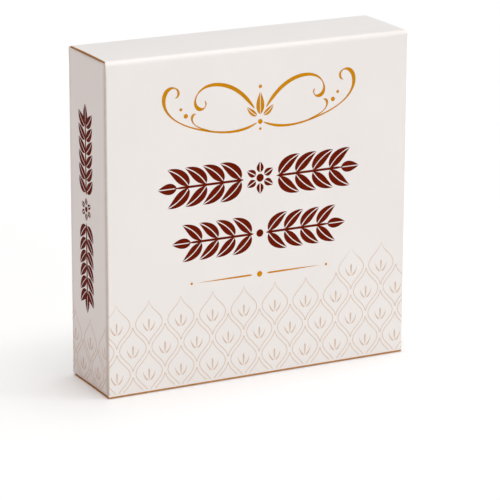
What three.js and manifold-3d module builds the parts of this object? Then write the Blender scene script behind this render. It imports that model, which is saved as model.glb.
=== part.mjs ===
// A shut folding carton for candied chestnuts: nearly square, flat, and standing upright. It is one
// folded blank of white coated board with a brown core. The top closure hinges on the front panel and
// tucks in behind the back panel; the bottom closure hinges on the back panel and tucks in behind the
// front panel. The glued seam is on the back right upright edge.
// Millimetres, +Z up. The origin is the middle of the base, and the front panel faces -Y.

import * as THREE from 'three';
import { mergeVertices } from 'three/addons/utils/BufferGeometryUtils.js';
import Module from 'manifold-3d';

// Driving dimensions
const WIDTH = 137.4;
const DEPTH = 35.8;
const HEIGHT = 140;
const BOARD = 0.8; // thickness of the board
const UPRIGHT_RADIUS = 0.7; // outside of the creases between front, sides and back
const HINGE_RADIUS = 1.6; // outside of the creases that the closures turn on
const TUCK_RADIUS = 0.5; // outside of the folds where the closures turn in
const TOP_DUST_RADIUS = 0.6; // outside of the creases of the dust flaps, under the closures
const BASE_DUST_RADIUS = 0.3;
const SIDE_SINK = 0.2; // how far each side panel is drawn in, half way from front to back
const TOP_INSETS = [0.6, 0.7]; // from the carton's side to a closure's side edge, at its hinge and its tuck
const BASE_INSETS = [0.4, 0.1];
const FRONT_EDGE_LIFT = 0.15; // from the front panel's lower, cut edge to the base
const BACK_EDGE_DROP = 0.5; // from the back panel's upper, cut edge to the top
const TUCK_GAP = 0.1; // between a panel and the closure tucked in behind it
const TUCK_GAP_DEPTH = 1.4;
const SEAM_SETBACK = 1.0; // the right side panel's cut edge stops this far short of the back
const ARC_STEPS = 6;
const BOARD_COLOUR = 0xece6e2;

// Worked out from them
const HALF_WIDTH = WIDTH / 2;
const HALF_DEPTH = DEPTH / 2;
const FUSE = 0.2; // how far a closure's slab runs on into the body that it is joined to
const PAST = 5; // how far the cutting prisms reach past the carton

const wasm = await Module();
wasm.setup();

// A flat outline drawn in the local XY plane becomes a closed prism, placed by three axes and a start.
function prism(shape, length, xAxis, yAxis, zAxis, start) {
  const geometry = new THREE.ExtrudeGeometry(shape, {
    depth: length,
    bevelEnabled: false,
    curveSegments: ARC_STEPS,
  });
  geometry.deleteAttribute('normal');
  geometry.deleteAttribute('uv');
  geometry.applyMatrix4(new THREE.Matrix4().makeBasis(xAxis, yAxis, zAxis).setPosition(start));
  const merged = mergeVertices(geometry, 1e-5);
  return new wasm.Manifold(new wasm.Mesh({
    numProp: 3,
    vertProperties: new Float32Array(merged.attributes.position.array),
    triVerts: new Uint32Array(merged.index.array),
  }));
}

const X = new THREE.Vector3(1, 0, 0);
const Y = new THREE.Vector3(0, 1, 0);
const Z = new THREE.Vector3(0, 0, 1);

// Seen from above: three rounded uprights, two sides drawn in, and the stepped seam at the back right,
// where the side panel's cut edge lies over the glue flap that turns in from the back panel.
function planOutline() {
  const r = UPRIGHT_RADIUS;
  const seamX = HALF_WIDTH - BOARD;
  const outline = new THREE.Shape();
  outline.moveTo(-HALF_WIDTH + r, -HALF_DEPTH);
  outline.lineTo(HALF_WIDTH - r, -HALF_DEPTH);
  outline.absarc(HALF_WIDTH - r, -HALF_DEPTH + r, r, -Math.PI / 2, 0, false);
  outline.quadraticCurveTo(HALF_WIDTH - 2 * SIDE_SINK, 0, HALF_WIDTH, HALF_DEPTH - SEAM_SETBACK);
  outline.lineTo(seamX, HALF_DEPTH - SEAM_SETBACK);
  outline.absarc(seamX - r, HALF_DEPTH - r, r, 0, Math.PI / 2, false);
  outline.lineTo(-HALF_WIDTH + r, HALF_DEPTH);
  outline.absarc(-HALF_WIDTH + r, HALF_DEPTH - r, r, Math.PI / 2, Math.PI, false);
  outline.quadraticCurveTo(-HALF_WIDTH + 2 * SIDE_SINK, 0, -HALF_WIDTH, -HALF_DEPTH + r);
  outline.absarc(-HALF_WIDTH + r, -HALF_DEPTH + r, r, Math.PI, 1.5 * Math.PI, false);
  return outline;
}

// Half of the carton seen from its right side, as points (y, z): down the front panel to its cut edge,
// round the gap behind it and the fold of the closure tucked in there, along the base and round the
// hinge at the back. Turned half a turn about the carton's middle, it is the other half too. edgeLift
// is the height of the cut edge over the base.
function halfSideOutline(edgeLift) {
  const panelBack = -HALF_DEPTH + BOARD;
  const foldFront = panelBack + TUCK_GAP;
  const points = [
    new THREE.Vector2(-HALF_DEPTH, edgeLift),
    new THREE.Vector2(panelBack, edgeLift),
    new THREE.Vector2(panelBack, TUCK_GAP_DEPTH),
    new THREE.Vector2(foldFront, TUCK_GAP_DEPTH),
  ];
  const arc = (cy, cz, radius, from, to) => {
    for (let i = 0; i <= ARC_STEPS; i += 1) {
      const angle = from + ((to - from) * i) / ARC_STEPS;
      points.push(new THREE.Vector2(cy + radius * Math.cos(angle), cz + radius * Math.sin(angle)));
    }
  };
  arc(foldFront + TUCK_RADIUS, TUCK_RADIUS, TUCK_RADIUS, Math.PI, 1.5 * Math.PI);
  arc(HALF_DEPTH - HINGE_RADIUS, HINGE_RADIUS, HINGE_RADIUS, 1.5 * Math.PI, 2 * Math.PI);
  return points;
}

function sideOutline() {
  const lower = halfSideOutline(FRONT_EDGE_LIFT);
  const upper = halfSideOutline(BACK_EDGE_DROP).map((p) => new THREE.Vector2(-p.x, HEIGHT - p.y));
  return new THREE.Shape([...lower, ...upper]);
}

// The body seen from the front, as (x, z): its sides turn in at the creases of the dust flaps, which
// lie one board under the outer faces of the closures.
function frontOutline() {
  const low = { radius: BASE_DUST_RADIUS, z: BOARD + BASE_DUST_RADIUS };
  const high = { radius: TOP_DUST_RADIUS, z: HEIGHT - BOARD - TOP_DUST_RADIUS };
  const outline = new THREE.Shape();
  outline.moveTo(-HALF_WIDTH + low.radius, BOARD);
  outline.absarc(HALF_WIDTH - low.radius, low.z, low.radius, -Math.PI / 2, 0, false);
  outline.absarc(HALF_WIDTH - high.radius, high.z, high.radius, 0, Math.PI / 2, false);
  outline.absarc(-HALF_WIDTH + high.radius, high.z, high.radius, Math.PI / 2, Math.PI, false);
  outline.absarc(-HALF_WIDTH + low.radius, low.z, low.radius, Math.PI, 1.5 * Math.PI, false);
  return outline;
}

// A closure's slab from above: its side edges lie a little inside the carton's sides. hingeSide is -1
// where it hinges on the front panel, and 1 where it hinges on the back panel.
function closureOutline(hingeSide, [insetAtHinge, insetAtTuck]) {
  const atHinge = HALF_WIDTH - insetAtHinge;
  const atTuck = HALF_WIDTH - insetAtTuck;
  const hingeY = hingeSide * HALF_DEPTH;
  return new THREE.Shape([
    new THREE.Vector2(-atHinge, hingeY),
    new THREE.Vector2(atHinge, hingeY),
    new THREE.Vector2(atTuck, -hingeY),
    new THREE.Vector2(-atTuck, -hingeY),
  ]);
}

function closureSlab(hingeSide, insets, lowZ) {
  return prism(closureOutline(hingeSide, insets), BOARD + FUSE, X, Y, Z, new THREE.Vector3(0, 0, lowZ));
}

function cartonSolid() {
  const fromAbove = prism(planOutline(), HEIGHT + 2 * PAST, X, Y, Z, new THREE.Vector3(0, 0, -PAST));
  const fromSide = prism(sideOutline(), WIDTH + 2 * PAST, Y, Z, X,
    new THREE.Vector3(-HALF_WIDTH - PAST, 0, 0));
  const fromFront = prism(frontOutline(), DEPTH + 2 * PAST, X, Z, Y.clone().negate(),
    new THREE.Vector3(0, HALF_DEPTH + PAST, 0));
  const layers = fromFront
    .add(closureSlab(-1, TOP_INSETS, HEIGHT - BOARD - FUSE))
    .add(closureSlab(1, BASE_INSETS, 0));
  return fromAbove.intersect(fromSide).intersect(layers);
}

function toGeometry(solid) {
  const { vertProperties, triVerts } = solid.getMesh();
  const geometry = new THREE.BufferGeometry();
  geometry.setAttribute('position', new THREE.BufferAttribute(vertProperties, 3));
  geometry.setIndex(new THREE.BufferAttribute(triVerts, 1));
  geometry.computeVertexNormals();
  return geometry;
}

const board = new THREE.MeshStandardMaterial({ color: BOARD_COLOUR, roughness: 0.6, metalness: 0 });
const carton = new THREE.Mesh(toGeometry(cartonSolid()), board);
carton.name = 'carton';

const pack = new THREE.Group();
pack.add(carton);

export default pack;
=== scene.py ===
"""A shut folding carton for candied chestnuts, standing upright on a pale studio floor.

The carton is one folded blank of board, coated white outside and brown in its core. All that is printed
on it is drawn here as ornament: a gold flourish, two garlands and a rule on the front, a garland on each
side, an emblem on the back, and a lattice of thin copper lines round the foot.

Lengths are in millimetres, and become metres where a mesh, a texture or the camera is made.
"""

import math

import bpy
from mathutils import Matrix, Vector
from mathutils.bvhtree import BVHTree


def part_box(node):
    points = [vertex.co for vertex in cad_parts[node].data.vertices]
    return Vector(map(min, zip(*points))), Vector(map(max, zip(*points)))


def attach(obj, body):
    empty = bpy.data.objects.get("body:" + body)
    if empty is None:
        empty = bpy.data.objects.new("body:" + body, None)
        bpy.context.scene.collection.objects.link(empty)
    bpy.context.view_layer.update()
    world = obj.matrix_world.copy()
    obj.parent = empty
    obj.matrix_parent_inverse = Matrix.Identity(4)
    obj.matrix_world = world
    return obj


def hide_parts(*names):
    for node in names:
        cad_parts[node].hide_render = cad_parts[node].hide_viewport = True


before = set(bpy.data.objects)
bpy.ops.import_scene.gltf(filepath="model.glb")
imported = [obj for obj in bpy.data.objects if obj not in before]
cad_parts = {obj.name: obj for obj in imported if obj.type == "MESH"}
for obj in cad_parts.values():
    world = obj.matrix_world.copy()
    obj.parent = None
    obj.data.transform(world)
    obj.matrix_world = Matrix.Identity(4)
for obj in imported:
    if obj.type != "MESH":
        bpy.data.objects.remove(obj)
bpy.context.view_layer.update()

MM = 0.001

# ------------------------------------------------------------------ driving sizes

BASE_CORNER, TOP_CORNER = (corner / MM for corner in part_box("carton"))
WIDTH = TOP_CORNER.x - BASE_CORNER.x
DEPTH = TOP_CORNER.y - BASE_CORNER.y
HEIGHT = TOP_CORNER.z - BASE_CORNER.z

BOARD = 0.8  # thickness of the board
UPRIGHT_RADIUS = 0.7  # outside of the four upright creases
UPRIGHT_RADIUS_AT_ENDS = 0.35  # they tighten where the flaps start
UPRIGHT_TIGHTENS_OVER = 7.0
HINGE_RADIUS = 1.6  # creases that the closures turn on
TUCK_RADIUS = 0.5  # folds where the closures turn in
TOP_DUST_RADIUS = 0.6  # creases of the dust flaps under the closures
BASE_DUST_RADIUS = 0.3
CREASE_POWER = 1.25  # a crease's section is round at 2 and a straight bevel at 1
SLIT = 0.06  # between a closure's ends and the dust flaps under it
TOP_ARCH = 0.18  # how far the top closure's middle stands above its two folds
FRONT_EDGE_LIFT = 0.15  # from the front panel's lower, cut edge to the carton's base
BACK_EDGE_DROP = 0.5  # from the back panel's upper, cut edge to the carton's top
CUT_STRIP = 0.7  # along a panel's lower, cut edge the core shows over this width
CUT_BEVEL = 0.15  # how far the outer face gives way at a cut edge
TUCK_GAP = 0.1  # between a panel and the closure tucked in behind it
TUCK_FLAP = 9.0  # lengths of the flaps that end inside the carton
DUST_FLAP = 12.0
GLUE_FLAP = 8.0  # with its crease
DUST_RELIEF = 0.65  # how much narrower a dust flap is than its crease, on each side
DUST_TAPER = 0.18  # and the share of its width that it loses towards its end
GLUE_FLAP_SHORT = 3.0  # how far the glue flap stops short of the carton's top and base
SEAM_STEP = BOARD + 0.05  # the glue flap lies this far inside the right side panel's outer face
SEAM_SETBACK = 1.0  # the right side panel's cut edge stops this far short of the back
TOP_INSET = 0.7  # from the carton's side to the top closure's side edge, at its tuck
BASE_INSET = 0.1  # from a side panel to the base closure's side edge
BASE_INSET_FROM = 0.1  # it comes down to that over this share of the way from its hinge

SIDE_SINK_TOP = 0.25  # how far the side panels are drawn in, half way from front to back
SIDE_SINK_BASE = 0.15
FRONT_BULGE = 0.25
BACK_BULGE = 0.2

BACK_WEAR_AND_SHADE = 0.35  # painted shade and wear of the two back creases, where that of the front ones is 1
MIDWAY_WEAR_AND_SHADE = 0.85  # painted shade and wear half way round a crease, where it is 1 at the side panel
WEAR_AND_SHADE_BAND = 2.0  # a side panel is painted darker, as wear and shade, this far from its upright creases
WEAR_AND_SHADE_FADE = 1.2  # and that painted darkening fades over this much of it

ARC_STEPS = 6  # faces round a quarter turn
OFF_HALVES = 0.0002  # added before rounding, so that equal numbers don't end up on either side of a half
INNER_SQUEEZE = 0.1  # round a crease the inner face follows the outer one at this share
INK_LIFT = 0.02  # height of the ink over the board
INK_ROOT = 0.03  # how far the ink reaches down into it
HAIR = 0.001  # ink that is no wider is left out
BLUNT = 0.02  # a pointed end of it stops this share of a step short
PRINT_MARGIN = 0.15  # from the creases at the side panels' base to the print
CREASE_STEPS = 10  # the ink's steps are this much finer round an upright crease


def mix(a, b, share):
    return a + (b - a) * share


def smooth(share):
    share = min(max(share, 0.0), 1.0)
    return share * share * (3 - 2 * share)


# ------------------------------------------------------------------ the carton's upright walls


FRONT_HEIGHT = HEIGHT - TOP_ARCH - HINGE_RADIUS  # where the front panel's hinge starts


def upright_radius(z):
    from_end = min(z, HEIGHT - z)
    return mix(UPRIGHT_RADIUS_AT_ENDS, UPRIGHT_RADIUS, smooth(from_end / UPRIGHT_TIGHTENS_OVER))


def side_bow(across, z):
    """How far a side panel stands out at -1 to 1 across it: it is drawn in, more so towards the top."""
    sink = mix(SIDE_SINK_BASE, SIDE_SINK_TOP, z / HEIGHT)
    return -sink * (1 - across * across)


def front_bow(across, z):
    upwards = math.sin(math.pi * min(max(z / FRONT_HEIGHT, 0), 1))
    return FRONT_BULGE * (1 - across * across) * upwards


def back_bow(across, z):
    upwards = math.sin(math.pi * min(max((z - HINGE_RADIUS) / (HEIGHT - HINGE_RADIUS), 0), 1))
    return BACK_BULGE * (1 - across * across) * upwards


class Panel:
    """One upright panel of the blank. along is its direction to the right as it is seen from outside. base
    and top are the heights of its ends, each with the radius of its crease there, or 0 at a cut edge.
    cut_start and cut_end are given where a side is cut and not creased: its distance from the middle."""

    def __init__(self, middle, along, length, bow, base, top, cut_start=None, cut_end=None):
        self.middle = Vector(middle)
        self.along = Vector(along)
        self.outward = Vector((along[1], -along[0], 0))
        self.length = length
        self.bow = bow
        self.low, self.base_crease = base
        self.high, self.top_crease = top
        self.cut_start = cut_start
        self.cut_end = cut_end

    def place(self, share, z):
        """The distance from the panel's middle at a share of the way from its first to its last side."""
        flat = self.length / 2 - upright_radius(z)
        start = -flat if self.cut_start is None else self.cut_start
        end = flat if self.cut_end is None else self.cut_end
        return mix(start, end, share)

    def point(self, v, z):
        """The point of the outer face v along the panel from its middle, at height z."""
        radius = upright_radius(z)
        flat = self.length / 2 - radius
        side = math.copysign(1, v)
        cut = self.cut_start if v < 0 else self.cut_end
        past = abs(v) - flat
        if past <= 0 or cut is not None:
            forward, out = v, self.bow(min(max(v / flat, -1), 1), z)
        else:
            turn = past / radius * math.pi / 4
            forward = side * (flat + radius * math.sin(turn))
            out = radius * (math.cos(turn) - 1)
        return self.middle + self.along * forward + self.outward * out + Vector((0, 0, z))

    def facing(self, turn, side):
        """The direction out of the panel, or out of the crease beside it at a share of its half turn."""
        angle = turn * math.pi / 4
        return self.outward * math.cos(angle) + self.along * (side * math.sin(angle))


SIDE_BASE = (BOARD + SLIT + BASE_DUST_RADIUS, BASE_DUST_RADIUS)
SIDE_TOP = (HEIGHT - TOP_ARCH - BOARD - SLIT - TOP_DUST_RADIUS, TOP_DUST_RADIUS)

FRONT = Panel((0, -DEPTH / 2, 0), (1, 0, 0), WIDTH, front_bow,
              (FRONT_EDGE_LIFT, 0), (FRONT_HEIGHT, HINGE_RADIUS))
RIGHT = Panel((WIDTH / 2, 0, 0), (0, 1, 0), DEPTH, side_bow, SIDE_BASE, SIDE_TOP,
              cut_end=DEPTH / 2 - SEAM_SETBACK)
BACK = Panel((-SEAM_STEP / 2, DEPTH / 2, 0), (-1, 0, 0), WIDTH - SEAM_STEP, back_bow,
             (HINGE_RADIUS, HINGE_RADIUS), (HEIGHT - BACK_EDGE_DROP, 0))
LEFT = Panel((-WIDTH / 2, 0, 0), (0, -1, 0), DEPTH, side_bow, SIDE_BASE, SIDE_TOP)
GLUE = Panel((WIDTH / 2 - SEAM_STEP, 0, 0), (0, 1, 0), DEPTH, side_bow,
             (GLUE_FLAP_SHORT, 0), (HEIGHT - GLUE_FLAP_SHORT, 0), cut_start=DEPTH / 2 - GLUE_FLAP)
BLANK_ORDER = (GLUE, BACK, LEFT, FRONT, RIGHT)  # from the glue flap to the right side panel's cut edge
SIDES = (LEFT, RIGHT)

# Distance along the blank, to the right as it is seen from outside, with 0 in the middle of the front
BLANK_START = {
    FRONT: -WIDTH / 2,
    RIGHT: WIDTH / 2,
    LEFT: -WIDTH / 2 - DEPTH,
    BACK: -WIDTH / 2 - DEPTH - BACK.length,
}
PRINTED = (BACK, LEFT, FRONT, RIGHT)
PRINTED_CREASES = [BLANK_START[panel] for panel in PRINTED[1:]]
PRINT_START = BLANK_START[BACK]
PRINT_END = WIDTH / 2 + DEPTH - SEAM_SETBACK
PRINT_LOW = SIDE_BASE[0] + PRINT_MARGIN


def printed_panel(u):
    """The panel at distance u along the blank."""
    return next((panel for panel in reversed(PRINTED) if u >= BLANK_START[panel]), BACK)


def on_blank(u, z):
    """The point of the carton's outer face at distance u along the blank and height z."""
    panel = printed_panel(u)
    return panel.point(u - BLANK_START[panel] - panel.length / 2, z)


def out_of_blank(u, z):
    """The direction out of the carton there."""
    near = 0.02
    across = on_blank(u + near, z) - on_blank(u - near, z)
    upwards = on_blank(u, z + near) - on_blank(u, z - near)
    return across.cross(upwards).normalized()


# ------------------------------------------------------------------ meshes


def make_piece(name, points, faces, materials, slot, **values):
    """A mesh piece from points in millimetres. It rides on the carton's one body. Each of values is a list
    with a number for each point, which the materials read by its name."""
    mesh = bpy.data.meshes.new(name)
    mesh.from_pydata([Vector(p) * MM for p in points], [], faces)
    for material in materials:
        mesh.materials.append(material)
    for key, numbers in values.items():
        mesh.attributes.new(key, "FLOAT", "POINT").data.foreach_set("value", numbers)
    mesh.update()
    piece = bpy.data.objects.new(name, mesh)
    bpy.context.scene.collection.objects.link(piece)
    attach(piece, "root")
    return piece


class Sheet:
    """The board: rows and columns of points of its outer face, each with the point of the inner face
    behind it, joined into quads. Points that meet are one point."""

    def __init__(self):
        self.outer = []
        self.inner = []
        self.wear = []  # for each point, how much wear and shade is painted on the coat there, from 0 to 1
        self.faces = []
        self.bare = []  # for each face, whether it shows the core
        self.found = {}  # for each place that has a point, its number

    def point(self, pair, wear):
        outer, inner = pair
        key = tuple(round(c + OFF_HALVES, 3) for c in outer)
        if key not in self.found:
            self.found[key] = len(self.outer)
            self.outer.append(outer)
            self.inner.append(inner)
            self.wear.append(wear)
        return self.found[key]

    def add(self, columns, wear=lambda column, row: 0, bare=lambda column, row: False):
        """columns run to the right as the board is seen from outside, each from its low to its high end.
        wear gives the painted wear and shade of each point, and bare says which quads show the core."""
        grid = [[self.point(pair, wear(i, row)) for row, pair in enumerate(column)]
                for i, column in enumerate(columns)]
        for i, (near, far) in enumerate(zip(grid, grid[1:])):
            for row in range(len(near) - 1):
                corners = tuple(dict.fromkeys((near[row], far[row], far[row + 1], near[row + 1])))
                if len(corners) > 2:
                    self.faces.append(corners)
                    self.bare.append(bare(i, row))

    def solid(self):
        """The points and faces of the board with its thickness: outer faces, inner faces and edges."""
        count = len(self.outer)
        sides = [(a, b) for face in self.faces for a, b in zip(face, face[1:] + face[:1])]
        known = set(sides)
        faces = self.faces + [tuple(i + count for i in reversed(face)) for face in self.faces]
        faces += [(b, a, a + count, b + count) for a, b in sides if (b, a) not in known]
        return self.outer + self.inner, faces


def shares(count):
    return [i / count for i in range(count + 1)]


NEAR_END = (0, CUT_STRIP, 0.9, 1.6, 2.4, 3.4, 4.6, 6.2, 8.5)  # a wall's rows, from either of its ends
EVEN_FROM = NEAR_END[-1] + 3  # between them its rows are evenly spaced, from here on
EVEN_ROWS = 14
WIDE_COLUMNS = [0, 0.005] + shares(26)[1:-1] + [0.995, 1]  # shares of the way across front and back
DEEP_COLUMNS = [0, 0.02, 0.045, 0.08] + [mix(0.15, 0.85, s) for s in shares(8)] + [0.92, 0.955, 0.98, 1]
HINGE_REACH = 2  # a closure's hinge takes up this many of a side panel's columns
HALF_TURN = shares(ARC_STEPS // 2)[1:]  # shares of the way to the middle of a crease


def wall_heights(low, high):
    even = [mix(low + EVEN_FROM, high - EVEN_FROM, s) for s in shares(EVEN_ROWS)]
    return [low + d for d in NEAR_END] + even + [high - d for d in reversed(NEAR_END)]


def wall_places():
    """Every column of the wall, from the glue flap on: its panel, the share of the way along the flat of
    it, the share of the half crease past that, and the panel beyond the crease."""
    places = []
    for index, panel in enumerate(BLANK_ORDER):
        if index > 0:
            places += [(panel, 0, turn, BLANK_ORDER[index - 1]) for turn in reversed(HALF_TURN[:-1])]
        columns = WIDE_COLUMNS if panel in (FRONT, BACK) else DEEP_COLUMNS
        places += [(panel, share, 0, None) for share in columns]
        if panel is not BLANK_ORDER[-1]:
            places += [(panel, 1, turn, BLANK_ORDER[index + 1]) for turn in HALF_TURN]
    return places


def cut_share(place, at_top):
    """How far a column's end is a cut edge and not a crease: 1 on a panel that is cut there, and less round
    the crease beside it."""
    panel, _, turn, beyond = place

    def is_cut(one):
        return one is not None and not (one.top_crease if at_top else one.base_crease)

    return 1 if is_cut(panel) else turn if is_cut(beyond) else 0


def end_height(place, at_top):
    """The height of a column's end. Two creases meet half way round the corner. A cut edge keeps its height
    as far as there beside a crease, and at the base right round the corner."""
    panel, _, turn, beyond = place
    own = panel.high if at_top else panel.low
    if not turn:
        return own
    other = beyond.high if at_top else beyond.low
    if not cut_share(place, at_top):
        return mix(own, (own + other) / 2, turn)
    return mix(own, max(own, other), turn) if at_top else min(own, other)


def wall_point(place, z):
    panel, share, turn, _ = place
    side = 1 if share > 0.5 else -1
    return panel.point(panel.place(share, z) + side * turn * upright_radius(z), z)


def squeezed(v, half):
    """A coordinate of the inner face, for that of the outer face, which is half at its flat."""
    limit = half - BOARD / (1 - INNER_SQUEEZE)
    return v if abs(v) <= limit else math.copysign(limit + (abs(v) - limit) * INNER_SQUEEZE, v)


def behind(outer, drop=0, half_width=WIDTH / 2):
    """The point of the inner face behind outer, in a wall or a crease, moved by drop towards mid height."""
    return Vector((squeezed(outer.x, half_width), squeezed(outer.y, DEPTH / 2),
                   outer.z - math.copysign(drop, outer.z - HEIGHT / 2)))


def wall_column(place):
    """A column of the wall, from its base to its top. A cut edge is slightly bevelled."""
    panel, share, turn, beyond = place
    low, high = end_height(place, False), end_height(place, True)
    column = [wall_point(place, z) for z in wall_heights(low, high)]
    half_width = WIDTH / 2 - (SEAM_STEP if GLUE in (panel, beyond) else 0)
    pairs = [(p, behind(p, 0, half_width)) for p in column]
    facing = panel.facing(turn, 1 if share > 0.5 else -1)
    for end, at_top in ((0, False), (-1, True)):
        outer, inner = pairs[end]
        pairs[end] = (outer - facing * (CUT_BEVEL * cut_share(place, at_top)), inner)
    return pairs


def wall_wear(place):
    """Painted shade and wear on the coat where the side panels turn into their upright creases: a darker
    tan band, strongest at the front.
    """
    panel, share, turn, _ = place
    if panel in (FRONT, BACK):
        worn_and_shaded = MIDWAY_WEAR_AND_SHADE * turn**1.5
    elif turn:
        worn_and_shaded = mix(1, MIDWAY_WEAR_AND_SHADE, turn)
    else:
        worn_and_shaded = smooth((WEAR_AND_SHADE_BAND - min(share, 1 - share) * panel.length) / WEAR_AND_SHADE_FADE)
    return worn_and_shaded * (BACK_WEAR_AND_SHADE if wall_point(place, HEIGHT / 2).y > 0 else 1)


def add_wall(sheet):
    places = wall_places()
    # each point takes the painted crease shade and wear of its column
    sheet.add([wall_column(place) for place in places], lambda column, row: wall_wear(places[column]),
              lambda column, row: row == 0 and cut_share(places[column], False) > 0)


def crease_section(radius):
    """The section of a crease, from the wall on: how far each point is inwards, and how far up."""
    power = 2 / CREASE_POWER
    angles = [math.pi / 2 * i / ARC_STEPS for i in range(ARC_STEPS + 1)]
    return [(radius * (1 - math.cos(a) ** power), radius * math.sin(a) ** power) for a in angles]


def crease_pairs(start, run, steps_in=False):
    """A crease from start on over run, its way inwards and up or down, with the inner face behind it. If
    it steps in, its second point is already as far in from the carton's side as its last."""
    outer = []
    for i, (inwards, upwards) in enumerate(crease_section(1)):
        sideways = min(i, 1) if steps_in else inwards
        outer.append(start + Vector((run.x * sideways, run.y * inwards, run.z * upwards)))
    return [(p, behind(p, BOARD * i / ARC_STEPS)) for i, p in enumerate(outer)]


def bend_over(panel, share, at_top):
    """Where a column of the panel turns in at its crease, from the wall inwards."""
    start = wall_point((panel, share, 0, None), panel.high if at_top else panel.low)
    radius = panel.top_crease if at_top else panel.base_crease
    return crease_pairs(start, Vector((0, 0, radius if at_top else -radius)) - panel.outward * radius)


def radius_at_hinge(at_top):
    """The radius of the upright creases at the height where a closure's hinge starts."""
    return upright_radius(FRONT_HEIGHT if at_top else HINGE_RADIUS)


def hinge_inset(at_top):
    """How far a closure's side edges are inside the carton's sides where its hinge ends."""
    return max(radius_at_hinge(at_top), (SIDE_TOP if at_top else SIDE_BASE)[1])


def corner_end(place, start, at_top):
    """An end of a corner's inner side: the end of a panel's crease, or the place behind its cut edge."""
    panel, share = place[:2]
    if cut_share(place, at_top):
        return start - panel.outward * BOARD
    end = bend_over(panel, share, at_top)[-1][0]
    if panel not in SIDES:
        end.x = math.copysign(WIDTH / 2 - hinge_inset(at_top), end.x)
    return end


def add_corner(sheet, left, right, at_top):
    """The rounded corner where two panels end. Beside a closure's hinge it takes in the end of the side
    panel, as far as the hinge reaches. At the top it takes in a little of the back panel's cut edge, and at
    the base the front's corners show the core."""
    places = [(left, 1, turn, right) for turn in [0] + HALF_TURN]
    places += [(right, 0, turn, left) for turn in reversed([0] + HALF_TURN[:-1])]
    hinged_on = FRONT if at_top else BACK
    if at_top and left is BACK:
        places.insert(0, (BACK, WIDE_COLUMNS[-2], 0, None))
    if right is hinged_on:
        places = [(left, share, 0, None) for share in DEEP_COLUMNS[-1 - HINGE_REACH:-1]] + places
    if left is hinged_on:
        places += [(right, share, 0, None) for share in DEEP_COLUMNS[1:1 + HINGE_REACH]]
    starts = [wall_column(place)[-1 if at_top else 0][0] for place in places]
    first, last = (corner_end(places[i], starts[i], at_top) for i in (0, -1))
    columns = []
    for i, ((panel, _, turn, _), start) in enumerate(zip(places, starts)):
        end = first.lerp(last, i / (len(starts) - 1))
        columns.append(crease_pairs(start, end - start, steps_in=panel not in SIDES and turn == 0))

    # the corner carries its column's painted crease shade and wear, fading round the crease
    def wear(column, row):
        from_wall = row if at_top else ARC_STEPS - row
        return wall_wear(places[column]) * (1 - from_wall / ARC_STEPS)

    sheet.add(columns if at_top else [column[::-1] for column in columns], wear,
              lambda column, row: not at_top and FRONT in (left, right))


def add_dust_flap(sheet, panel, at_top):
    """A dust flap: the crease along a side panel, worn at the base, and the flap turned in from it under
    a closure. The corners beside a hinge take up the ends of the crease."""
    first = HINGE_REACH if panel is (RIGHT if at_top else LEFT) else 0
    last = HINGE_REACH if at_top and panel is LEFT else 0
    bends = [bend_over(panel, share, at_top) for share in DEEP_COLUMNS[first:len(DEEP_COLUMNS) - last]]
    sheet.add(bends if at_top else [bend[::-1] for bend in bends],
              lambda column, row: 0 if at_top else 1)
    through = Vector((0, 0, -BOARD if at_top else BOARD))
    flaps = []
    for bend in bends:
        root = bend[-1][0]
        flap = [bend[-1]]
        for s in (0.02, 0.5, 1):
            narrower = 1 - 2 * DUST_RELIEF / DEPTH - DUST_TAPER * s
            outer = Vector((root.x, root.y * narrower, root.z)) - panel.outward * (DUST_FLAP * s)
            flap.append((outer, outer + through))
        flaps.append(flap if at_top else flap[::-1])
    sheet.add(flaps, bare=lambda column, row: True)


TUCK_ROWS = 3


def closure_profile(arch):
    """The top closure from its hinge to the end of its tuck flap, as points (y, z) of its outer face, each
    with that of its inner face."""
    tuck = DEPTH / 2 - BOARD - TUCK_GAP  # the outer face of the tuck flap
    top = HEIGHT - arch
    start, fold = HINGE_RADIUS - DEPTH / 2, tuck - TUCK_RADIUS
    hinge = [(inwards - DEPTH / 2, top - HINGE_RADIUS + upwards)
             for inwards, upwards in crease_section(HINGE_RADIUS)]
    rows = [0.015] + shares(14)[1:-1] + [0.985, 1]
    flat = [(mix(start, fold, s), HEIGHT - arch * (2 * s - 1) ** 2) for s in rows]
    turned = [(tuck - inwards, top - TUCK_RADIUS + upwards)
              for inwards, upwards in crease_section(TUCK_RADIUS)[-2::-1]]
    flap = [(tuck, top - TUCK_RADIUS - TUCK_FLAP * s) for s in shares(TUCK_ROWS)[1:]]

    def inner(y, z):
        across = squeezed(y, DEPTH / 2 if y < 0 else tuck)
        return across, z - BOARD if z >= top else HEIGHT / 2 + squeezed(z - HEIGHT / 2, top - HEIGHT / 2)

    return [(point, inner(*point)) for point in hinge + flat + turned + flap]


def closure_inset(y, at_top):
    """How far a closure's side edge is inside the carton's side, at y from its middle towards its tuck."""
    if y <= -DEPTH / 2:
        return radius_at_hinge(at_top)
    along = max(0, (y + DEPTH / 2 - HINGE_RADIUS) / (DEPTH - HINGE_RADIUS))
    if at_top:
        return mix(hinge_inset(at_top), TOP_INSET, along)
    side_sink = SIDE_SINK_BASE * 4 * along * (1 - along)
    return mix(hinge_inset(at_top), BASE_INSET, smooth(along / BASE_INSET_FROM)) + side_sink


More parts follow.
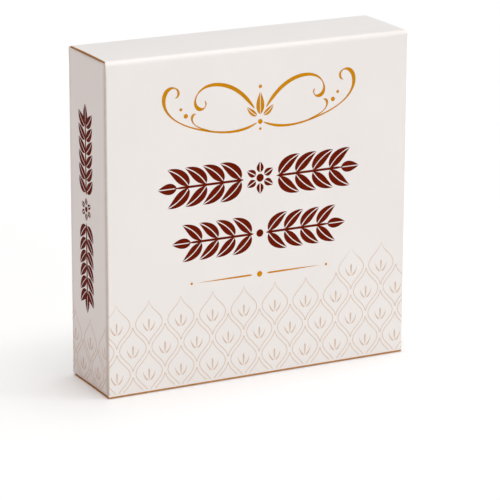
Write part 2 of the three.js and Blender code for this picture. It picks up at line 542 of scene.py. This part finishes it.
def add_closure(sheet, at_top):
    """A closure, across the carton. The base closure is the top one turned half a turn about the X axis
    through the carton's middle, so that it hinges on the back panel. Its fold and tuck flap are bare."""
    seam = 0 if at_top else SEAM_STEP  # the back panel is shorter than the front one
    columns = []
    for share in WIDE_COLUMNS:
        column = []
        for pair in closure_profile(TOP_ARCH if at_top else 0):
            inset = closure_inset(pair[0][0], at_top)
            x = mix(inset - WIDTH / 2, WIDTH / 2 - inset - seam, share)
            column.append([Vector((x, y, z) if at_top else (x, -y, HEIGHT - z)) for y, z in pair])
        columns.append(column)
    tuck_start = len(columns[0]) - 1 - TUCK_ROWS - ARC_STEPS
    sheet.add(columns, bare=lambda column, row: not at_top and row >= tuck_start)


SHARP_FROM = 40  # edges that bend more than this, in degrees, are sharp


def folded_board(coated, core):
    """The whole blank as one folded board. Its cut edges and its inner face show the core."""
    sheet = Sheet()
    add_wall(sheet)
    for left, right in ((BACK, LEFT), (LEFT, FRONT), (FRONT, RIGHT)):
        for at_top in (True, False):
            add_corner(sheet, left, right, at_top)
    for panel in SIDES:
        for at_top in (True, False):
            add_dust_flap(sheet, panel, at_top)
    for at_top in (True, False):
        add_closure(sheet, at_top)
    points, faces = sheet.solid()
    wear = sheet.wear * 2  # of the outer points, then of the inner ones
    board = make_piece("folded_blank", points, faces, (coated, core), "board", wear=wear)
    shows_core = [int(bare) for bare in sheet.bare]
    shows_core += [1] * (len(faces) - len(shows_core))
    board.data.polygons.foreach_set("material_index", shows_core)
    board.data.shade_smooth()
    board.data.set_sharp_from_angle(angle=math.radians(SHARP_FROM))
    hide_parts("carton")
    return board


# ------------------------------------------------------------------ drawing ornament
# A shape is two rows of points, its two edges, in millimetres on the blank.


LEAF_STEPS = 16
DOT_STEPS = 14


def sweep(start, heading, length, bends, steps):
    """A path whose curvature, in radians for each millimetre, runs evenly from one bend to the next."""
    x, z = start
    angle = math.radians(heading)
    step = length / steps
    path = [(x, z)]
    for i in range(steps):
        along = (i + 0.5) / steps * (len(bends) - 1)
        k = min(int(along), len(bends) - 2)
        curvature = mix(bends[k], bends[k + 1], along - k)
        angle += curvature * step / 2
        x += math.cos(angle) * step
        z += math.sin(angle) * step
        angle += curvature * step / 2
        path.append((x, z))
    return path


def band(path, low, high):
    """The shape beside a path, from low to high to its left, which are functions of the share along it."""
    left, right = [], []
    last = len(path) - 1
    for i, (x, z) in enumerate(path):
        ahead, behind = path[min(i + 1, last)], path[max(i - 1, 0)]
        dx, dz = ahead[0] - behind[0], ahead[1] - behind[1]
        size = math.hypot(dx, dz)
        nx, nz = -dz / size, dx / size
        share = i / last
        left.append((x + nx * high(share), z + nz * high(share)))
        right.append((x + nx * low(share), z + nz * low(share)))
    return left, right


def stroke(path, width):
    return band(path, lambda s: -width(s) / 2, lambda s: width(s) / 2)


def swelling(width, start, end):
    """A stroke's width, which rises from nothing and falls back to it over two shares of its length."""

    def at(share):
        return width * math.sin(math.pi / 2 * min(share / start, (1 - share) / end, 1))

    return at


def pen_stroke(path, thin, thick, nib_angle, ends=0.12):
    """A broad-nib stroke, widest where it crosses the nib's edge."""
    last = len(path) - 1

    def width(share):
        i = min(int(share * last), last - 1)
        heading = math.atan2(path[i + 1][1] - path[i][1], path[i + 1][0] - path[i][0])
        across = abs(math.sin(heading - math.radians(nib_angle))) ** 1.5
        return mix(thin, thick, across) * math.sqrt(min(1, share / ends, (1 - share) / ends))

    return stroke(path, width)


def leaf(base, heading, length, width, bend, vein):
    """A leaf as two half blades, parted by its vein."""
    path = sweep(base, heading, length, (bend, bend), LEAF_STEPS)

    def edge(share):
        return width / 2 * math.sin(math.pi * min(share, 1) ** 0.75) ** 0.85 if 0 < share < 1 else 0

    def gap(share):
        return min(vein / 2, edge(share))

    return [band(path, gap, edge), band(path, lambda s: -edge(s), lambda s: -gap(s))]


def dot(centre, radius):
    x, z = centre
    path = [(x - radius * math.cos(math.pi * s), z) for s in shares(DOT_STEPS)]
    return stroke(path, lambda s: 2 * radius * math.sin(math.pi * s))


def mirrored(shapes):
    """Shapes with their mirror images about the upright line u = 0."""
    images = [([(-u, z) for u, z in right], [(-u, z) for u, z in left]) for left, right in shapes]
    return shapes + images


def moved(shapes, du, dz):
    return [tuple([(u + du, z + dz) for u, z in edge] for edge in shape) for shape in shapes]


def turned_upright(shapes):
    """Shapes turned a quarter turn, so that what pointed right points up."""
    return [tuple([(-z, u) for u, z in edge] for edge in shape) for shape in shapes]


# ------------------------------------------------------------------ the ornaments


def flourish():
    """Two mirrored scrolls with a three-leaved bud between them, centred on (0, 0) at the bud's foot."""
    low = sweep((1.3, -3.2), -28, 63, (0.05, 0.030, 0.010, 0.04, 0.15, 0.55), 90)
    high = sweep((2.6, 2.6), 55, 44, (-0.015, -0.045, -0.06, -0.18, -0.62), 70)
    tendril = sweep((22.0, -4.6), 15, 14.5, (0.03, 0.03, 0.22, 0.8), 36)
    half = [
        pen_stroke(low, 0.55, 1.75, 30),
        pen_stroke(high, 0.5, 1.6, 120),
        pen_stroke(tendril, 0.4, 1.1, 40),
        dot((33.6, 2.8), 0.95),
        dot((35.8, 5.7), 0.65),
    ]
    half += leaf((1.5, -0.4), 28, 6.2, 2.3, 0.08, 0.3)
    middle = leaf((0, 0), 90, 9.4, 3.6, 0, 0.3)
    middle += [dot((0, -3.0), 1.05), dot((0, 11.6), 0.75), dot((0, -6.0), 0.6)]
    return mirrored(half) + middle


def rule(half_length):
    """A tapered rule with a dot in its middle and one at each end."""
    path = [(mix(3.2, half_length, s), 0) for s in shares(20)]
    half = [stroke(path, swelling(0.75, 0.05, 0.9)), dot((half_length + 2.2, 0), 0.55)]
    return mirrored(half) + [dot((0, 0), 1.2)]


def branch(length, height, pairs, leaf_width, vein):
    """A branch to the right of (0, 0), with leaves in pairs along it and one at its end."""
    spread = 58
    bend = 0.055
    tip = 8.5
    stem = [(mix(0.8, length - tip * 0.6, s), 0) for s in shares(24)]
    shapes = [stroke(stem, swelling(1.0, 0.02, 0.12))]
    leaf_length = height / 2 / math.sin(math.radians(spread - 8)) * 1.02
    for i in range(pairs):
        u = 2.2 + length / (pairs + 0.75) * i
        for side in (1, -1):
            shapes += leaf((u, side * 0.5), side * spread, leaf_length, leaf_width, -side * bend, vein)
    return shapes + leaf((length - tip * 0.75, 0), 0, tip, leaf_width * 0.9, 0, vein)


def rosette(radius, petals=6):
    shapes = [dot((0, 0), radius * 0.26)]
    for k in range(petals):
        heading = 90 + 360 / petals * k
        base = [radius * 0.36 * f(math.radians(heading)) for f in (math.cos, math.sin)]
        shapes += leaf(base, heading, radius * 0.72, radius * 0.5, 0, 0.4)
    return shapes


def emblem():
    """A rosette between two sprigs."""
    return mirrored(moved(branch(15.0, 9.0, 2, 3.0, 0.3), 6.6, 0)) + rosette(5.6)


def upper_garland():
    return mirrored(moved(branch(37.5, 18.5, 4, 5.2, 0.42), 6.6, 0)) + rosette(6.4)


def lower_garland():
    return mirrored(moved(branch(36.0, 17.0, 4, 4.8, 0.42), 1.9, 0)) + [dot((0, 0), 1.6)]


def side_garland():
    """An upright garland, half of it growing up and half down from a rosette."""
    half = moved(branch(37.0, 12.6, 6, 4.3, 0.34), 5.0, 0)
    return turned_upright(mirrored(half)) + rosette(4.6)


LATTICE_ROW = 10.6
LATTICE_COLUMNS = 24  # round the whole carton
LATTICE_FIRST_ROW = -1.6
LATTICE_LINE = 0.28
LATTICE_FADE = 10.0  # the lines pale over this height at the lattice's top
LATTICE_TOP = 33.6  # the middles of its highest cells are lower than this
LATTICE_RISE = 10.0  # or than this much more at the right of the front
LATTICE_RISE_PLACE = 57.7
LATTICE_RISE_WIDTH = 26.0
LATTICE_SIDE_DROP = 10.2  # and than this much less on the sides, under their garlands
LATTICE_DROP_WIDTH = 10.0  # across an upright crease
SPRIG_DROP = 3.6  # from a cell's middle to its sprig's foot


def lattice_top(u):
    onto_side = min(abs(u) - WIDTH / 2, WIDTH / 2 + DEPTH - abs(u))
    rise = LATTICE_RISE * math.exp(-((u - LATTICE_RISE_PLACE) / LATTICE_RISE_WIDTH) ** 2)
    return LATTICE_TOP + rise - LATTICE_SIDE_DROP * smooth(onto_side / LATTICE_DROP_WIDTH + 0.5)


def lattice_strength(u, z):
    return smooth((lattice_top(u) + LATTICE_ROW - z) / LATTICE_FADE)


def lattice_cell(centre, pitch):
    """One cell: a pointed oval of two waves, and in it a sprig with a bud and two bent leaves, none of
    which touch."""
    u0, z0 = centre
    foot = z0 - SPRIG_DROP
    shapes = []
    for side in (1, -1):
        wave = [(u0 + side * (LATTICE_LINE * 0.6 + pitch * 0.2 * (1 + math.cos(math.pi * (2 * s - 1)))),
                 z0 + LATTICE_ROW * 0.88 * (2 * s - 1)) for s in shares(28)]
        shapes.append(stroke(wave, lambda s: LATTICE_LINE))
        bent = sweep((u0 + side * 0.4, foot), 90 - side * 52, 5.0, (side * 0.16, side * 0.16), 10)
        shapes.append(stroke(bent, swelling(0.6, 0.15, 0.85)))
    bud = [(u0, foot + 5.4 * s) for s in shares(10)]
    shapes.append(stroke(bud, swelling(0.75, 0.8, 0.2)))
    return shapes


def lattice():
    """Staggered rows of cells round the whole carton, with no seam but the glued one."""
    pitch = (WIDTH * 2 + DEPTH * 2) / LATTICE_COLUMNS
    shapes = []
    row = 0
    z = LATTICE_FIRST_ROW
    while z < HEIGHT / 2:
        first = math.floor(PRINT_START / pitch) - 1
        last = math.ceil(PRINT_END / pitch) + 1
        for column in range(first, last + 1):
            u = (column + row % 2 / 2) * pitch
            if z < lattice_top(u):
                shapes += lattice_cell((u, z), pitch)
        row += 1
        z += LATTICE_ROW
    return shapes


def printable(u, z):
    """Whether a point of the blank is on a printed panel, clear of its creases at top and base."""
    if not PRINT_START < u < PRINT_END:
        return False
    return PRINT_LOW < z < printed_panel(u).high


def between(pair, following, share):
    """The pair of points at a share of the way from one pair to the next."""
    return tuple((mix(u, v, share), mix(z, w, share)) for (u, z), (v, w) in zip(pair, following))


def finer_at_creases(run):
    """A run of pairs of points, with more of them where it goes round an upright crease."""
    fine = run[:1]
    for pair, following in zip(run, run[1:]):
        reach = [u for u, _ in pair + following]
        bent = any(min(reach) < crease + UPRIGHT_RADIUS and max(reach) > crease - UPRIGHT_RADIUS
                   for crease in PRINTED_CREASES)
        fine += [between(pair, following, s) for s in shares(CREASE_STEPS if bent else 1)[1:]]
    return fine


def with_width(run):
    """A run of pairs of points without what has no width at its ends. An end that was a point keeps a
    little width."""
    wide = [i for i, pair in enumerate(run) if math.dist(*pair) > HAIR]
    if not wide:
        return []
    kept = run[max(wide[0] - 1, 0):wide[-1] + 2]
    for end, beside in ((0, 1), (-1, -2)):
        if math.dist(*kept[end]) <= HAIR:
            kept[end] = between(kept[end], kept[beside], BLUNT)
    return kept


class Press:
    """Lays ink on the board: a thin closed slab over each shape, bent with the board under it."""

    def __init__(self, board):
        points = [vertex.co / MM for vertex in board.data.vertices]
        faces = [tuple(face.vertices) for face in board.data.polygons]
        self.surface = BVHTree.FromPolygons(points, faces)

    def over(self, u, z, lift):
        """The point lift above the board's outer face."""
        outwards = out_of_blank(u, z)
        found = self.surface.ray_cast(on_blank(u, z) + outwards, -outwards)[0]
        return found + outwards * lift

    def add_slab(self, run, points, faces, ink, strength):
        """A slab along a run of (left, right) pairs: for each, four points round its cross-section."""
        start = len(points)
        for left, right in finer_at_creases(run):
            points += [self.over(*right, INK_LIFT), self.over(*left, INK_LIFT),
                       self.over(*left, -INK_ROOT), self.over(*right, -INK_ROOT)]
            ink += [strength(*p) if strength else 1 for p in (right, left, left, right)]
        end = len(points) - 4
        for a in range(start, end, 4):
            faces += [(a + k, a + 4 + k, a + 4 + (k + 1) % 4, a + (k + 1) % 4) for k in range(4)]
        faces += [(start, start + 1, start + 2, start + 3), (end + 3, end + 2, end + 1, end)]

    def lay(self, name, shapes, material, slot, strength=None):
        """A piece of ink, where the shapes are printable. strength is a function of the place, which the
        material reads as ink."""
        points, faces, ink = [], [], []
        for left, right in shapes:
            run = []
            for pair in list(zip(left, right)) + [None]:
                if pair and all(printable(*p) for p in pair):
                    run.append(pair)
                    continue
                run = with_width(run)
                if len(run) > 1:
                    self.add_slab(run, points, faces, ink, strength)
                run = []
        return make_piece(name, points, faces, (material,), slot, ink=ink)


# ------------------------------------------------------------------ materials


def new_material(name):
    material = bpy.data.materials.new(name)
    material.use_nodes = True
    tree = material.node_tree
    return material, tree, tree.nodes["Principled BSDF"]


def noise(tree, size, detail=3.0, stretch=(1, 1, 1)):
    """Noise whose blobs are about size across, in millimetres, fixed to the object."""
    coords = tree.nodes.new("ShaderNodeTexCoord")
    mapping = tree.nodes.new("ShaderNodeMapping")
    mapping.inputs["Scale"].default_value = stretch
    texture = tree.nodes.new("ShaderNodeTexNoise")
    texture.inputs["Scale"].default_value = 1 / (size * MM)
    texture.inputs["Detail"].default_value = detail
    tree.links.new(coords.outputs["Object"], mapping.inputs["Vector"])
    tree.links.new(mapping.outputs["Vector"], texture.inputs["Vector"])
    return texture.outputs["Fac"]


def ramp(tree, value, stops):
    """A colour for each value, which runs evenly from one (value, colour) stop to the next."""
    node = tree.nodes.new("ShaderNodeValToRGB")
    elements = node.color_ramp.elements
    while len(elements) < len(stops):
        elements.new(0.5)
    for element, (position, colour) in zip(elements, stops):
        element.position = position
        element.color = (*colour, 1)
    tree.links.new(value, node.inputs["Fac"])
    return node.outputs["Color"]


def remap(tree, value, low, high, to_low, to_high):
    """A value that goes from to_low to to_high while the given one goes from low to high."""
    node = tree.nodes.new("ShaderNodeMapRange")
    for key, number in (("From Min", low), ("From Max", high), ("To Min", to_low), ("To Max", to_high)):
        node.inputs[key].default_value = number
    tree.links.new(value, node.inputs["Value"])
    return node.outputs["Result"]


MIX_FIRST, MIX_SECOND, MIX_RESULT = 6, 7, 2  # a mix node's sockets for colours


def mixed(tree, share, first, second):
    """A mix of two colours, each of which is either a tuple or another node's output."""
    node = tree.nodes.new("ShaderNodeMix")
    node.data_type = "RGBA"
    tree.links.new(share, node.inputs["Factor"])
    for socket, colour in ((node.inputs[MIX_FIRST], first), (node.inputs[MIX_SECOND], second)):
        if isinstance(colour, tuple):
            socket.default_value = (*colour, 1)
        else:
            tree.links.new(colour, socket)
    return node.outputs[MIX_RESULT]


def scaled(tree, value, factor):
    node = tree.nodes.new("ShaderNodeMath")
    node.operation = "MULTIPLY"
    tree.links.new(value, node.inputs[0])
    tree.links.new(factor, node.inputs[1])
    return node.outputs["Value"]


def bumped(tree, shader, height, distance):
    """Bends the shader's normals as a relief would whose height, from 0 to 1, spans distance."""
    node = tree.nodes.new("ShaderNodeBump")
    node.inputs["Strength"].default_value = 1.0
    node.inputs["Distance"].default_value = distance * MM
    tree.links.new(height, node.inputs["Height"])
    tree.links.new(node.outputs["Normal"], shader.inputs["Normal"])


def felt_fibres(tree, shader, depth):
    """The board's fibres, as they are just felt through its coat or through ink."""
    bumped(tree, shader, noise(tree, 0.35, 4.0), depth)


COAT = (0.825, 0.790, 0.760)
# the coat where it is worn at the base, and the tan painted shade beside the upright creases
WORN_AND_SHADED_COAT = (0.60, 0.52, 0.46)


def coated_board():
    """White clay coat over board, faintly cloudy, and darker where it is worn and where shade is painted
    beside the upright creases.
    """
    material, tree, shader = new_material("coated_board")
    clouds = noise(tree, 26.0, 2.0)
    dull, bright = (tuple(c * share for c in COAT) for share in (0.985, 1.01))
    tone = ramp(tree, clouds, ((0.3, dull), (0.7, bright)))
    # the painted shade and wear read from the mesh darken the coat towards a worn tan: real wear at the
    # base creases, painted shade beside the upright creases
    wear = tree.nodes.new("ShaderNodeAttribute")
    wear.attribute_name = "wear"
    rubbed_and_shaded = scaled(tree, wear.outputs["Fac"], remap(tree, noise(tree, 3.0, 4.0), 0.3, 0.7, 0.75, 1.0))
    tree.links.new(mixed(tree, rubbed_and_shaded, tone, WORN_AND_SHADED_COAT), shader.inputs["Base Color"])
    tree.links.new(remap(tree, noise(tree, 4.0), 0.3, 0.7, 0.29, 0.35), shader.inputs["Roughness"])
    felt_fibres(tree, shader, 0.006)
    shader.inputs["Specular IOR Level"].default_value = 0.5
    return material


def board_core():
    """Brown unbleached fibre, at the cut edges and inside."""
    material, tree, shader = new_material("board_core")
    fibres = noise(tree, 0.3, 4.0, (1, 1, 3))
    tone = ramp(tree, fibres, ((0.3, (0.42, 0.19, 0.045)), (0.7, (0.58, 0.27, 0.07))))
    tree.links.new(tone, shader.inputs["Base Color"])
    shader.inputs["Roughness"].default_value = 0.9
    bumped(tree, shader, fibres, 0.03)
    return material


INK_GLOSS = 0.03


def ink_material(name, dark, light, roughness):
    """Solid ink, a little uneven where the board has taken it up."""
    material, tree, shader = new_material(name)
    tone = ramp(tree, noise(tree, 1.6), ((0.35, dark), (0.65, light)))
    tree.links.new(tone, shader.inputs["Base Color"])
    low, high = roughness
    tree.links.new(remap(tree, noise(tree, 0.8), 0.3, 0.7, low, high), shader.inputs["Roughness"])
    shader.inputs["Specular IOR Level"].default_value = INK_GLOSS
    felt_fibres(tree, shader, 0.004)
    return material


def fading_ink():
    """The lattice's copper ink, which pales into the board where the lattice ends."""
    material, tree, shader = new_material("copper_ink")
    strength = tree.nodes.new("ShaderNodeAttribute")
    strength.attribute_name = "ink"
    full = ramp(tree, noise(tree, 2.0), ((0.35, (0.63, 0.46, 0.34)), (0.65, (0.69, 0.53, 0.41))))
    tree.links.new(mixed(tree, strength.outputs["Fac"], COAT, full), shader.inputs["Base Color"])
    shader.inputs["Roughness"].default_value = 0.5
    shader.inputs["Specular IOR Level"].default_value = INK_GLOSS
    felt_fibres(tree, shader, 0.004)
    return material


# ------------------------------------------------------------------ camera, floor and light


CAMERA_TURN = (27.420, 16.421, 0.214)  # to the right, down and tilted, in degrees
CAMERA_PLACE = (-523.58, -1018.63, 387.02)
CAMERA_LENS = 206.17
CAMERA_SENSOR = 36


def aim_camera():
    """The photograph's view: a long lens from the front left, a little above the carton."""
    yaw, pitch, roll = (math.radians(angle) for angle in CAMERA_TURN)
    look = Vector((math.sin(yaw) * math.cos(pitch), math.cos(yaw) * math.cos(pitch), -math.sin(pitch)))
    level = look.cross(Vector((0, 0, 1))).normalized()
    upright = level.cross(look)
    right = level * math.cos(roll) + upright * math.sin(roll)
    up = upright * math.cos(roll) - level * math.sin(roll)
    data = bpy.data.cameras.new("camera")
    data.sensor_width = CAMERA_SENSOR
    data.lens = CAMERA_LENS
    camera = bpy.data.objects.new("camera", data)
    camera.matrix_world = Matrix((right, up, -look)).transposed().to_4x4()
    camera.location = Vector(CAMERA_PLACE) * MM
    bpy.context.scene.collection.objects.link(camera)
    bpy.context.scene.camera = camera


FLOOR_GAP = 0.05  # the floor lies this far under the base, so that the two don't fall together


def lay_floor():
    """A wide pale disc, which the carton stands on."""
    sides = 96
    radius = 6000
    rim = [Vector((radius * math.cos(a), radius * math.sin(a), -FLOOR_GAP))
           for a in (math.tau * i / sides for i in range(sides))]
    mesh = bpy.data.meshes.new("floor")
    mesh.from_pydata([p * MM for p in rim], [], [tuple(range(sides))])
    material, _, shader = new_material("floor_white")
    shader.inputs["Base Color"].default_value = (0.95, 0.95, 0.95, 1)
    shader.inputs["Roughness"].default_value = 0.9
    shader.inputs["Specular IOR Level"].default_value = 0.0
    mesh.materials.append(material)
    floor = bpy.data.objects.new("floor", mesh)
    bpy.context.scene.collection.objects.link(floor)


def add_soft_sun(name, towards_lamp, strength, spread, colour=(1, 1, 1)):
    """A sun lamp that is spread degrees wide. strength is the brightness of white that faces it."""
    lamp = bpy.data.lights.new(name, "SUN")
    lamp.energy = strength * math.pi
    lamp.color = colour
    lamp.angle = math.radians(spread)
    holder = bpy.data.objects.new(name, lamp)
    holder.rotation_euler = Vector(towards_lamp).to_track_quat("Z", "Y").to_euler()
    bpy.context.scene.collection.objects.link(holder)


def light_scene():
    """Soft lights from overhead, from the front, from the upper right and, dim and warm, from the left, in
    a glow that is dark on the left."""
    world = bpy.data.worlds.new("studio")
    world.use_nodes = True
    tree = world.node_tree
    direction = tree.nodes.new("ShaderNodeTexCoord").outputs["Generated"]
    split = tree.nodes.new("ShaderNodeSeparateXYZ")
    tree.links.new(direction, split.inputs["Vector"])
    rightwards = remap(tree, split.outputs["X"], -1, 1, 0, 1)
    glow = mixed(tree, rightwards, (0.0, 0.0, 0.0), (0.79, 0.81, 0.845))
    tree.links.new(glow, tree.nodes["Background"].inputs["Color"])
    bpy.context.scene.world = world
    add_soft_sun("overhead", (0, -0.05, 1.0), 0.58, 50, (1.0, 1.01, 0.985))
    add_soft_sun("front", (0.22, -1.0, 0.14), 0.25, 32)
    add_soft_sun("upper_right", (0.44, -0.28, 0.85), 0.05, 8)
    add_soft_sun("left", (-1.0, -0.3, 0.4), 0.075, 60, (1.0, 0.16, 0.0))
    bpy.context.scene.view_settings.view_transform = "Standard"


# ------------------------------------------------------------------ the scene

aim_camera()
lay_floor()
light_scene()

# Heights of the ornaments' points (0, 0) over the base
FLOURISH_HEIGHT = 111.6
UPPER_GARLAND_HEIGHT = 85
LOWER_GARLAND_HEIGHT = 61.5
RULE_HEIGHT = 44
SIDE_GARLAND_HEIGHT = 75
EMBLEM_HEIGHT = 85

RULE_HALF_LENGTH = 29
SIDE_GARLAND_SETBACK = 2.5  # from the middle of the side towards the back

press = Press(folded_board(coated_board(), board_core()))

gold = ink_material("gold_ink", (0.53, 0.215, 0.0), (0.59, 0.245, 0.0), (0.4, 0.5))
brown = ink_material("brown_ink", (0.12, 0.006, 0.0), (0.145, 0.009, 0.0), (0.5, 0.6))

press.lay("front_flourish", moved(flourish(), 0, FLOURISH_HEIGHT), gold, "gold_print")
press.lay("front_upper_garland", moved(upper_garland(), 0, UPPER_GARLAND_HEIGHT), brown, "brown_print")
press.lay("front_lower_garland", moved(lower_garland(), 0, LOWER_GARLAND_HEIGHT), brown, "brown_print")
press.lay("front_rule", moved(rule(RULE_HALF_LENGTH), 0, RULE_HEIGHT), gold, "gold_print")
for name, panel, backwards in (("left_garland", LEFT, -1), ("right_garland", RIGHT, 1)):
    place = BLANK_START[panel] + DEPTH / 2 + backwards * SIDE_GARLAND_SETBACK
    press.lay(name, moved(side_garland(), place, SIDE_GARLAND_HEIGHT), brown, "brown_print")
back_middle = BLANK_START[BACK] + BACK.length / 2
press.lay("back_emblem", moved(emblem(), back_middle, EMBLEM_HEIGHT), gold, "gold_print")
press.lay("foot_lattice", lattice(), fading_ink(), "copper_print", lattice_strength)
